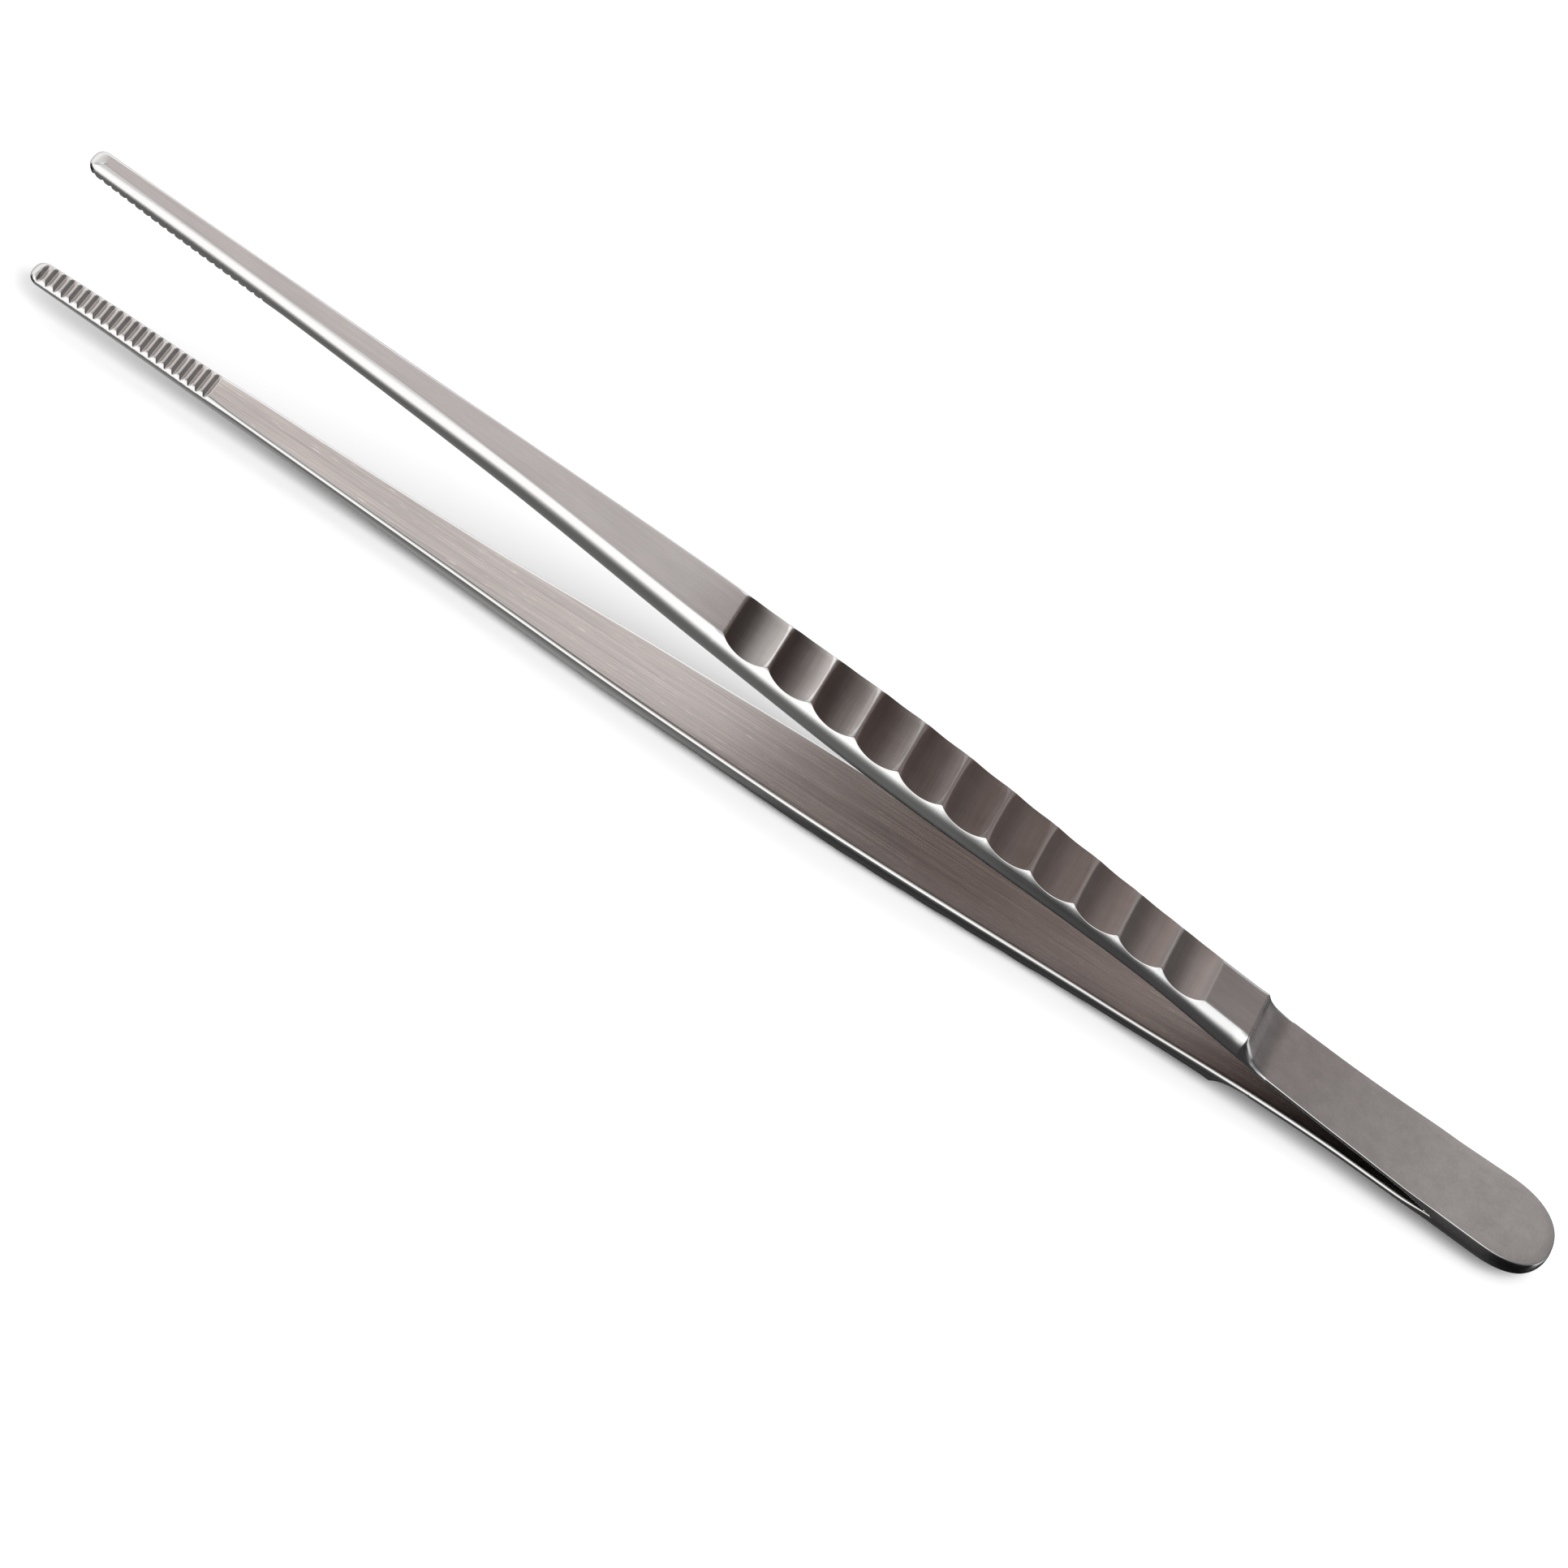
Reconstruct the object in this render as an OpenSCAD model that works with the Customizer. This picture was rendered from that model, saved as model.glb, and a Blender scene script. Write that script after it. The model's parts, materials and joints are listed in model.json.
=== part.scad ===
// Long sprung tongs: two mirrored arms joined at a welded heel, with scalloped grips and serrated jaws.
// X runs from the end of the heel to the tips, Y across the width, Z from the lower arm to the upper.
// The parting line of the heel lies on the mid-plane z = 0.

/* [Heel] */
// Length of the closed heel, from its rounded end to the crotch
heel_len = 17; // [14:0.5:20]
// Thickness of each heel plate
heel_t = 1.3; // [1.1:0.05:1.6]
// Full width of the heel near its rounded end
heel_w = 15.2; // [14.6:0.1:16.5]
// Full width of the heel at the crotch
crotch_w = 14.2; // [13.4:0.1:14.5]
// How far along the heel the rounding of its end reaches
heel_round = 10; // [6:0.5:12]
// Depth of the weld bead that joins the two heel plates
weld_c = 0.45; // [0.3:0.05:0.5]

/* [Spring leaf] */
// Length of the spring leaf, from the crotch to the step behind the grip
leaf_len = 36; // [32:1:42]
// Thickness of the spring leaf
leaf_t = 0.8; // [0.7:0.05:1]
// Full width of the spring leaf at its middle
leaf_w = 12.7; // [11.8:0.1:13.2]
// Full width at the step behind the grip
step_w = 12; // [11.2:0.1:12.4]
// Height of the leaf's outer face at its middle, from the mid-plane
leaf_mid_h = 1.8; // [1.7:0.05:2.2]
// Height of the leaf's outer face at the foot of the step
leaf_end_h = 2.55; // [2.4:0.05:3]
// Length of the concave step from the leaf up to the grip
step_len = 5.5; // [5:0.25:6.5]

/* [Bending] */
// Radius of the round knuckle on which each leaf is taken to bend
hinge_r = 0.5; // [0.45:0.01:0.55]
// Running clearance round the knuckle
hinge_gap = 0.04; // [0.02:0.01:0.08]

/* [Grip] */
// Length of the plain pad behind the scallops
pad_len = 8; // [6:0.5:10]
// Length of the scalloped grip
grip_len = 83; // [70:1:90]
// Number of scallops across each grip
scallops = 11; // [8:1:12]
// Depth of each scallop below the line of its crests
scallop_d = 0.8; // [0.6:0.05:1]
// Full width at the waist behind the scallops
waist_w = 11.4; // [10.8:0.1:11.8]
// Full width at the belly of the grip
belly_w = 13.3; // [12.4:0.1:14]
// Full width at the front of the grip
front_w = 11.8; // [11:0.1:12.2]
// Thickness at the top of the step
step_t = 3.55; // [3.3:0.05:4]
// Thickness at the waist
waist_t = 2.95; // [2.8:0.05:3.2]
// Thickness at the belly, over the crests
belly_t = 3.55; // [3.2:0.05:4]
// Thickness at the front of the grip
front_t = 3.35; // [3:0.05:3.8]

/* [Shank and jaw] */
// Length of the plain tapering shank
shank_len = 76.5; // [65:0.5:85]
// Length of the serrated jaw
jaw_len = 29.5; // [29.5:0.5:34]
// Full width half way along the shank
shank_w = 7.9; // [7.2:0.1:8.6]
// Full width at the rear of the jaw
jaw_w = 5.5; // [5:0.1:5.9]
// Full width at the tip
tip_w = 4.4; // [4.2:0.1:4.7]
// Thickness half way along the shank
shank_t = 2.8; // [2.6:0.05:3.2]
// Thickness at the rear of the jaw
jaw_t = 2.2; // [2.1:0.05:2.4]
// Thickness at the tip
tip_t = 1.7; // [1.6:0.05:1.9]
// Corner radius of the tip seen from above
tip_round = 1.7; // [1.2:0.1:1.8]

/* [Spread at rest] */
// Height of the inner face above the mid-plane at the step
step_h = 2.3; // [2.2:0.05:2.6]
// The same at the waist
waist_h = 4.1; // [3.8:0.1:4.4]
// The same at the belly
belly_h = 6.4; // [6:0.1:6.8]
// The same at the front of the grip
front_h = 8; // [7.6:0.1:8.3]
// The same half way along the shank
shank_h = 9.85; // [9.4:0.05:10.2]
// The same at the rear of the jaw
jaw_h = 10.9; // [10.6:0.05:11]
// The same at the middle of the jaw
jaw_mid_h = 11.1; // [11.05:0.05:11.3]
// The same at the tip
tip_h = 11.65; // [11.5:0.05:12]

/* [Serrations] */
// Distance from one crest to the next
tooth_pitch = 1.317; // [1.1:0.001:1.33]
// Number of grooves across each jaw
grooves = 22; // [16:1:22]
// Depth of each groove
tooth_d = 0.5; // [0.35:0.05:0.6]
// Width of the flat left on each crest
tooth_flat = 0.24; // [0.15:0.01:0.4]
// Distance of the first crest from the tip
tooth_x = 1; // [0.8:0.1:1.4]

/* [Hidden] */

weld_color = [0.56, 0.54, 0.52];
heel_color = [0.66, 0.64, 0.62];
arm_color = [0.72, 0.70, 0.68];

// Which arm is built: the lower is the mirror image of the upper
UPPER = 1;
LOWER = -1;

// Distances along the tongs, from the end of the heel
x_crotch = heel_len;
x_relief = x_crotch + 6;
x_hinge = x_crotch + leaf_len / 2;
x_step = x_crotch + leaf_len;
x_foot = x_step - step_len;
x_waist = x_step + 17;
x_pad = x_step + pad_len;
x_front = x_pad + grip_len;
x_belly = x_front - 0.35 * grip_len;
x_shank = x_front + shank_len / 2;
x_jaw = x_front + shank_len;
x_jaw_mid = x_jaw + jaw_len / 2;
x_tip = x_jaw + jaw_len;

// Smooth curve through knots that never overshoots them.
// A knot is a row [x, value, ...]; column picks the value.
function slope(knots, column, i) =
    (knots[i + 1][column] - knots[i][column]) / (knots[i + 1][0] - knots[i][0]);
function tangent(knots, column, i) =
    i == 0 ? slope(knots, column, 0) :
    i == len(knots) - 1 ? slope(knots, column, i - 1) :
    let (before = slope(knots, column, i - 1), after = slope(knots, column, i))
    before * after <= 0 ? 0 : 2 * before * after / (before + after);
function span_index(knots, x, i = 0) =
    i >= len(knots) - 2 || x < knots[i + 1][0] ? i : span_index(knots, x, i + 1);
function curve(knots, x, column = 1) =
    let (i = span_index(knots, x),
         span = knots[i + 1][0] - knots[i][0],
         t = (x - knots[i][0]) / span)
    (2 * t * t * t - 3 * t * t + 1) * knots[i][column]
    + (t * t * t - 2 * t * t + t) * span * tangent(knots, column, i)
    + (3 * t * t - 2 * t * t * t) * knots[i + 1][column]
    + (t * t * t - t * t) * span * tangent(knots, column, i + 1);

// Outer face of the heel and leaf: [x, height]
leaf_knots = [
    [0, heel_t], [x_crotch, heel_t], [x_hinge, leaf_mid_h], [x_foot, leaf_end_h]];
// Line of the crests from the step to the tip: [x, height]
crest_knots = [
    [x_step, step_h + step_t], [x_waist, waist_h + waist_t], [x_belly, belly_h + belly_t],
    [x_front, front_h + front_t], [x_shank, shank_h + shank_t], [x_jaw, jaw_h + jaw_t],
    [x_tip, tip_h + tip_t]];

// Height of the outer face: leaf, concave arc of the step, then the line of the crests
step_rise = step_h + step_t - leaf_end_h;
step_r = (step_len * step_len + step_rise * step_rise) / (2 * step_rise);
function outer_h(x) =
    x < x_foot ? curve(leaf_knots, x) :
    x < x_step ? leaf_end_h + step_r - sqrt(step_r * step_r - (x - x_foot) * (x - x_foot)) :
    curve(crest_knots, x);

// Inner face: closed heel, relief that thins the leaf, then the spread of the arm: [x, height]
inner_knots = [
    [0, 0], [x_crotch, 0], [x_relief, curve(leaf_knots, x_relief) - leaf_t],
    [x_hinge, leaf_mid_h - leaf_t], [x_foot, leaf_end_h - leaf_t], [x_step, step_h],
    [x_waist, waist_h], [x_belly, belly_h], [x_front, front_h], [x_shank, shank_h],
    [x_jaw, jaw_h], [x_jaw_mid, jaw_mid_h], [x_tip, tip_h]];
function inner_h(x) = curve(inner_knots, x);

// Half width of the inner face before the ends are rounded: [x, half width]
width_knots = [
    [0, heel_w / 2], [x_crotch, crotch_w / 2], [x_hinge, leaf_w / 2], [x_step, step_w / 2],
    [x_waist, waist_w / 2], [x_belly, belly_w / 2], [x_front, front_w / 2],
    [x_shank, shank_w / 2], [x_jaw, jaw_w / 2], [x_tip, tip_w / 2]];
// How far each side of the outer face stands in from the inner face: [x, inset]
inset_knots = [
    [0, 0.35], [x_crotch, 0.3], [x_relief, 0.06], [x_foot, 0.15], [x_step + 2, 1.85],
    [x_pad, 1.8], [x_waist, 1.5], [x_waist + 14, 1.18], [x_belly, 1.4], [x_front - 8, 1.75],
    [x_front + 8, 1.45], [x_shank, 1.3], [x_jaw - 22, 1.42], [x_jaw, 1.16], [x_tip, 1.2]];
// Softening of the inner edge: [x, across the width, through the thickness]
edge_knots = [
    [0, 0.04, 0.04], [x_crotch, 0.04, 0.04], [x_relief, 0.4, 0.28],
    [x_foot, 0.55, 0.4], [x_jaw, 0.6, 0.4], [x_tip, 0.8, 0.5]];

// Share of the width left by the superelliptic rounding of the heel
heel_power = 2.3;
heel_min_share = 0.1;
function heel_share(x) =
    x < heel_round ? pow(1 - pow(1 - x / heel_round, heel_power), 1 / heel_power) : 1;
// Width taken off each side by the corner radius of the tip
function tip_cut(x) =
    let (reach = x - (x_tip - tip_round))
    reach <= 0 ? 0 : tip_round - sqrt(max(0, tip_round * tip_round - reach * reach));
function half_width(x) =
    curve(width_knots, x) * max(heel_share(x), heel_min_share) - tip_cut(x);

// Lowering of the outer face at the very ends: drop, and the length it fades over
heel_drop = 0.35;
heel_drop_len = 1.4;
tip_drop = 0.45;
tip_drop_len = 1.6;
function end_drop(x) =
    heel_drop * pow(max(0, 1 - x / heel_drop_len), 2)
    + tip_drop * pow(max(0, (x - x_tip + tip_drop_len) / tip_drop_len), 2);

// Evenly divided stretches of one arm: [start, end, number of divisions]
stretches = [
    [heel_round, x_crotch, 2],
    [x_crotch, x_relief, 4],
    [x_relief, x_foot, 6],
    [x_foot, x_step, 9],
    [x_step, x_front, 16],
    [x_front, x_jaw, 9],
    [x_jaw, x_tip - tip_round, 5]];
// Stations along one arm, crowded towards its rounded ends
heel_divs = 12;
tip_divs = 7;
stations = concat(
    [for (i = [0:heel_divs - 1]) heel_round * pow(i / heel_divs, 2.2)],
    [for (run = stretches) for (i = [0:run[2] - 1]) run[0] + (run[1] - run[0]) * i / run[2]],
    [for (i = [0:tip_divs]) x_tip - tip_round + tip_round * sin(i * 90 / tip_divs)]);

// Half of the section at x, as [y, z]: softened inner edge, then the convex side in equal turns
side_turn = 60;
side_divs = 3;
function half_section(x) =
    let (inner_w = half_width(x),
         outer_w = max(inner_w - curve(inset_knots, x), 0.45 * inner_w),
         edge_y = min(curve(edge_knots, x, 1), 0.4 * inner_w),
         edge_z = curve(edge_knots, x, 2),
         inner_z = inner_h(x),
         outer_z = outer_h(x) - end_drop(x))
    concat(
        [[inner_w - edge_y, inner_z], [inner_w - 0.29 * edge_y, inner_z + 0.29 * edge_z]],
        [for (i = [0:side_divs]) let (turn = i * side_turn / side_divs)
            [outer_w + (inner_w - outer_w) * (cos(turn) - cos(side_turn)) / (1 - cos(side_turn)),
             inner_z + edge_z
             + (outer_z - inner_z - edge_z) * sin(turn) / sin(side_turn)]]);
// Closed section, with flat inner and outer faces between its two halves
function section(x) =
    let (half = half_section(x), last = len(half) - 1)
    concat([for (p = half) [x, p[0], p[1]]],
           [for (i = [0:last]) [x, -half[last - i][0], half[last - i][1]]]);

// Faces of a solid lofted through rings of size points: two caps, then a wall of triangles
function loft_faces(rings, size) = concat(
    [[for (j = [0:size - 1]) j], [for (j = [0:size - 1]) rings * size - 1 - j]],
    [for (i = [0:rings - 2]) for (j = [0:size - 1])
        let (a = i * size + j, b = i * size + (j + 1) % size, c = a + size, d = b + size)
        each [[a, c, d], [a, d, b]]]);
function reversed(list) = [for (i = [0:len(list) - 1]) list[len(list) - 1 - i]];

// Whole arm from heel to tip, before it is divided and cut
module blank(side) {
    faces = loft_faces(len(stations), len(section(0)));
    polyhedron(points = [for (x = stations) for (p = section(x)) [p[0], p[1], side * p[2]]],
               faces = side < 0 ? [for (face = faces) reversed(face)] : faces,
               convexity = 10);
}

// Cylinder lying across the tongs
module cross_cylinder(x, z, radius, width, facets) {
    translate([x, 0, z])
        rotate([90, 0, 0])
            cylinder(r = radius, h = width, center = true, $fn = facets);
}

// Round bar on the line about which the leaf bends
module hinge_bar(side, radius, width) {
    cross_cylinder(x_hinge, side * (leaf_mid_h - leaf_t / 2), radius, width, 48);
}

// Block that takes away everything between two places along the tongs
module slab(x_start, x_end) {
    translate([x_start, -15, -25]) cube([x_end - x_start, 30, 50]);
}

// Outline of the closed heel in plan, once round from the crotch
heel_side = [for (x = stations) if (x <= x_crotch) [x, half_width(x)]];
heel_path = concat(reversed(heel_side), [for (p = heel_side) [p[0], -p[1]]]);
// Outward normal of the outline
function path_normal(path, i) =
    let (chord = path[min(i + 1, len(path) - 1)] - path[max(i - 1, 0)],
         along = chord / norm(chord))
    [along[1], -along[0]];

// Weld groove round the parting line: it narrows inwards to a small flat root
weld_root = 0.03; // half height of the root
weld_over = 0.4; // reach beyond the outline
module weld_tool() {
    mouth = weld_root + weld_c + weld_over;
    points = [for (i = [0:len(heel_path) - 1])
        let (normal = path_normal(heel_path, i),
             root = heel_path[i] - weld_c * normal,
             rim = heel_path[i] + weld_over * normal)
        each [[root[0], root[1], weld_root], [rim[0], rim[1], mouth],
              [rim[0], rim[1], -mouth], [root[0], root[1], -weld_root]]];
    polyhedron(points = points, faces = loft_faces(len(heel_path), 4), convexity = 10);
}

// Heel plate and the fixed half of its leaf, with a socket for the knuckle
module heel_leaf(side) {
    difference() {
        difference() {
            blank(side);
            slab(x_hinge, x_tip + 5);
            hinge_bar(side, hinge_r + hinge_gap, 20);
        }
        weld_tool();
    }
}

// Scallops across the outer face of the grip, each an arc between two crests
module scallop_cuts(side) {
    pitch = grip_len / scallops;
    for (i = [0:scallops - 1]) {
        x = x_pad + i * pitch;
        z_rear = outer_h(x);
        z_front = outer_h(x + pitch);
        chord = norm([pitch, z_front - z_rear]);
        radius = chord * chord / (8 * scallop_d) + scallop_d / 2;
        lift = radius - scallop_d;
        cross_cylinder(x + pitch / 2 - lift * (z_front - z_rear) / chord,
                       side * ((z_rear + z_front) / 2 + lift * pitch / chord),
                       radius, 30, 96);
    }
}

// V grooves across the inner face of the jaw, carried on past the face towards the mid-plane
groove_over = 1.2;
module groove_cuts(side) {
    height = tooth_d + groove_over;
    half_mouth = (tooth_pitch - tooth_flat) / 2 * height / tooth_d;
    for (i = [0:grooves - 1]) {
        x = x_tip - tooth_x - (i + 0.5) * tooth_pitch;
        root_z = side * (inner_h(x) + tooth_d);
        // The matrix stands the profile up along z and runs its extrusion along -y
        translate([x, 10, 0])
            multmatrix([[1, 0, 0, 0], [0, 0, -1, 0], [0, side, 0, root_z], [0, 0, 0, 1]])
                linear_extrude(height = 20)
                    polygon([[0, 0], [-half_mouth, -height], [half_mouth, -height]]);
    }
}

// Arm from the bending line forward: leaf, step, grip, shank and jaw in one piece
module arm(side) {
    difference() {
        union() {
            difference() {
                blank(side);
                slab(-5, x_hinge);
            }
            hinge_bar(side, hinge_r, leaf_w - 0.7);
        }
        scallop_cuts(side);
        groove_cuts(side);
    }
}

// Weld metal: a bead flush with the heel outline, and a hollow fillet in the crotch
fillet_len = 2.4;
fillet_inset = 0.3; // from the crotch and from each side
fillet_half_h = 0.3;
module weld() {
    intersection() {
        weld_tool();
        translate([0, 0, -1]) linear_extrude(height = 2) polygon(heel_path);
    }
    difference() {
        translate([x_crotch + fillet_inset, -crotch_w / 2 + fillet_inset, -fillet_half_h])
            cube([fillet_len, crotch_w - 2 * fillet_inset, 2 * fillet_half_h]);
        blank(UPPER);
        blank(LOWER);
        cross_cylinder(x_crotch + 3, 0, 0.6, 30, 32);
    }
}

module heel_weld() { color(weld_color) weld(); }
module upper_heel_leaf() { color(heel_color) heel_leaf(UPPER); }
module lower_heel_leaf() { color(heel_color) heel_leaf(LOWER); }
module upper_arm() { color(arm_color) arm(UPPER); }
module lower_arm() { color(arm_color) arm(LOWER); }

heel_weld();
upper_heel_leaf();
lower_heel_leaf();
upper_arm();
lower_arm();
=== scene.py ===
"""Serving tongs: two long steel arms welded together at the heel.

The tongs lie along X with the heel end at x = 0 and the jaw tips at the far +X end. Y runs
across them, and z = 0 is the parting plane between the upper arm (+Z) and the lower (-Z).
Lengths are in millimetres up to the meshes, which are in metres.
"""

import json
import math

import bmesh
import bpy
import numpy as np
from mathutils import Matrix, Vector


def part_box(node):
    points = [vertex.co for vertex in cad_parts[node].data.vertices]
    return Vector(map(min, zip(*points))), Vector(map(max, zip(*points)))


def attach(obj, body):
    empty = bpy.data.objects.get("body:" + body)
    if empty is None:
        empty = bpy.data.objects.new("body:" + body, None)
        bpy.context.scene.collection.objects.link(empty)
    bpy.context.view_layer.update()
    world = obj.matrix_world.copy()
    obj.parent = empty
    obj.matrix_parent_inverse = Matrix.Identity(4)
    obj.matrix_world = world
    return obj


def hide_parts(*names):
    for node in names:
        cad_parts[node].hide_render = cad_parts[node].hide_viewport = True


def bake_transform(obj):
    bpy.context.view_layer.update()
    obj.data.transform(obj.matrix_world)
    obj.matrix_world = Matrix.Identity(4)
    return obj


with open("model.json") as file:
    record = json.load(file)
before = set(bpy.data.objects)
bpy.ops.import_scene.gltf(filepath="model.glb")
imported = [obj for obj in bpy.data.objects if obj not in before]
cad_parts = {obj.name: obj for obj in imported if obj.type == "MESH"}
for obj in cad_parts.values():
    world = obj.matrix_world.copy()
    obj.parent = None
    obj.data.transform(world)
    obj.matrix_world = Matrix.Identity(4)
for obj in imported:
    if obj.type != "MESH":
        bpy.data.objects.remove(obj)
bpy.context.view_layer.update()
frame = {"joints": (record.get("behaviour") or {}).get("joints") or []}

MM = 0.001
PIVOT = {joint["child"]: joint["pos_m"] for joint in frame["joints"]}

# Lengths of the parts along the tongs
HEEL, LEAF, PAD, GRIP, SHANK, JAW = 17.0, 36.0, 8.0, 83.0, 76.5, 29.5
STEP_LEN = 5.5

# Places along the tongs, from heel to tip
X_HINGE = PIVOT["upper_arm"][0] / MM
X_CROTCH = HEEL
X_RELIEF = HEEL + 6.0
X_STEP = HEEL + LEAF
X_FOOT = X_STEP - STEP_LEN
X_WAIST = X_STEP + 17.0
X_PAD = X_STEP + PAD
X_FRONT = X_PAD + GRIP
X_BELLY = X_FRONT - 0.35 * GRIP
X_SHANK = X_FRONT + SHANK / 2
X_JAW = X_FRONT + SHANK
X_JAW_MID = X_JAW + JAW / 2
X_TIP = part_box("upper_arm")[1].x / MM

# Heights, and the rounding of the two ends seen from above
HEEL_THICK, LEAF_THICK = 1.3, 0.8
FOOT_TOP, STEP_TOP = 2.55, 5.85
HEEL_ROUND, HEEL_POWER = 10.0, 2.3
TIP_ROUND, TIP_POWER = 1.9, 2.5

# Scallops across the outside of the grip
SCALLOP_COUNT, SCALLOP_DEPTH = 11, 0.8
SCALLOP_PITCH = GRIP / SCALLOP_COUNT
CREST_X = [X_PAD + i * SCALLOP_PITCH for i in range(SCALLOP_COUNT + 1)]

# Grooves across the inside of the jaw
GROOVE_COUNT, GROOVE_PITCH, GROOVE_DEPTH, TOOTH_FLAT = 22, 1.317, 0.47, 0.24
GROOVES_END = X_TIP - 1.0
GROOVE_X = [GROOVES_END - (i + 0.5) * GROOVE_PITCH for i in range(GROOVE_COUNT)]


# ---------------------------------------------------------------------------
# Shape of an arm along its length
# ---------------------------------------------------------------------------
def curve(knots, x):
    """Smooth curve through (x, value) knots that never overshoots them."""
    knot_x, value = np.array(knots, float).T
    x = np.asarray(x, float)
    slope = np.diff(value) / np.diff(knot_x)
    tangent = np.zeros_like(value)
    tangent[0], tangent[-1] = slope[0], slope[-1]
    for i in range(1, len(knot_x) - 1):
        before, after = slope[i - 1], slope[i]
        if before * after > 0:
            tangent[i] = 2 * before * after / (before + after)
    i = np.clip(np.searchsorted(knot_x, x, side="right") - 1, 0, len(knot_x) - 2)
    span = knot_x[i + 1] - knot_x[i]
    u = (x - knot_x[i]) / span
    return (
        (2 * u**3 - 3 * u**2 + 1) * value[i]
        + (u**3 - 2 * u**2 + u) * span * tangent[i]
        + (3 * u**2 - 2 * u**3) * value[i + 1]
        + (u**3 - u**2) * span * tangent[i + 1]
    )


# Knots of (x, value). Heights are measured from the parting plane.
LEAF_TOP = [(0, HEEL_THICK), (X_CROTCH, HEEL_THICK), (X_HINGE, 1.8), (X_FOOT, FOOT_TOP)]
CREST_TOP = [
    (X_STEP, STEP_TOP), (X_WAIST, 7.05), (X_BELLY, 9.95), (X_FRONT, 11.35),
    (X_SHANK, 12.65), (X_JAW, 13.1), (X_TIP, 13.35),
]
INNER_FACE = [
    (0, 0), (X_CROTCH, 0), (X_RELIEF, float(curve(LEAF_TOP, X_RELIEF)) - LEAF_THICK),
    (X_HINGE, 1.0), (X_FOOT, 1.75), (X_STEP, 2.3), (X_WAIST, 4.1), (X_BELLY, 6.4),
    (X_FRONT, 8.02), (X_SHANK, 9.88), (X_JAW, 10.9), (X_JAW_MID, 11.1), (X_TIP, 11.65),
]
HALF_WIDTH = [
    (0, 7.6), (X_CROTCH, 7.1), (X_HINGE, 6.35), (X_STEP, 6.0), (X_WAIST, 5.7),
    (X_BELLY, 6.65), (X_FRONT, 5.9), (X_SHANK, 3.95), (X_JAW, 2.75), (X_TIP, 2.2),
]
# How far the convex side has drawn in where it reaches the outer face
SIDE_INSET = [
    (0, 0.3), (X_CROTCH, 0.26), (X_RELIEF, 0.08), (X_FOOT, 0.15), (X_STEP + 2, 1.85),
    (X_PAD, 1.8), (X_WAIST, 1.5), (X_WAIST + 14, 1.18), (X_BELLY, 1.4), (X_FRONT - 8, 1.75),
    (X_FRONT + 8, 1.45), (X_SHANK, 1.3), (X_JAW - 22, 1.42), (X_JAW, 1.16), (X_TIP, 1.2),
]
# Softened inner edge: x, width, height, roundness (2 is an ellipse, 1 a straight chamfer)
INNER_EDGE = np.array([
    (0, 0.16, 0.16, 2), (X_CROTCH, 0.16, 0.16, 2), (X_RELIEF, 0.62, 0.38, 2),
    (X_FOOT, 0.82, 0.5, 2), (X_JAW - 6, 0.72, 0.46, 1.9), (X_JAW + 3, 0.88, 0.72, 1.45),
    (X_TIP - 3, 0.92, 0.75, 1.45), (X_TIP, 1.1, 0.75, 1.6),
])


def outer_height(x):
    """Outer face without scallops: leaf, circular step, then the crest line."""
    x = np.asarray(x, float)
    rise = STEP_TOP - FOOT_TOP
    radius = (STEP_LEN**2 + rise**2) / (2 * rise)
    run = np.clip(x - X_FOOT, 0, STEP_LEN)
    step = FOOT_TOP + radius - np.sqrt(np.maximum(radius**2 - run**2, 0))
    leaf = curve(LEAF_TOP, np.minimum(x, X_FOOT))
    crest = curve(CREST_TOP, np.maximum(x, X_STEP))
    return np.where(x < X_FOOT, leaf, np.where(x < X_STEP, step, crest))


# Finely sampled profiles, running 1 mm past both ends
SAMPLE = 0.01
PROFILE_X = np.arange(-1.0, X_TIP + 1.0 + SAMPLE / 2, SAMPLE)
ON_ARM_X = np.clip(PROFILE_X, 0, X_TIP)


def soften(height, sigma):
    """Gaussian blur of a profile."""
    reach = int(math.ceil(4 * sigma / SAMPLE))
    kernel = np.exp(-0.5 * (np.arange(-reach, reach + 1) * SAMPLE / sigma) ** 2)
    kernel /= kernel.sum()
    return np.convolve(np.pad(height, reach, mode="edge"), kernel, mode="valid")


def soften_outer(height):
    """Round the foot of the step broadly, then everything lightly."""
    near_foot = (PROFILE_X > X_FOOT - 4) & (PROFILE_X < X_FOOT + 3)
    return soften(np.where(near_foot, soften(height, 0.7), height), 0.14)


def scallop_arc(start, end):
    """Circular floor of the scallop between two crests, out of reach elsewhere."""
    z_start, z_end = float(outer_height(start)), float(outer_height(end))
    chord = math.hypot(SCALLOP_PITCH, z_end - z_start)
    radius = chord * chord / (8 * SCALLOP_DEPTH) + SCALLOP_DEPTH / 2
    rise = radius - SCALLOP_DEPTH
    centre_x = start + SCALLOP_PITCH / 2 - rise * (z_end - z_start) / chord
    centre_z = (z_start + z_end) / 2 + rise * SCALLOP_PITCH / chord
    inside = np.abs(PROFILE_X - centre_x) < radius
    arc = np.full_like(PROFILE_X, 99.0)
    arc[inside] = centre_z - np.sqrt(radius * radius - (PROFILE_X[inside] - centre_x) ** 2)
    return arc


def outer_profiles():
    """The outer face without and with its scallops."""
    plain = outer_height(ON_ARM_X)
    cut = plain
    for start in CREST_X[:-1]:
        cut = np.minimum(cut, scallop_arc(start, start + SCALLOP_PITCH))
    return soften_outer(plain), soften_outer(cut)


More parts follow.
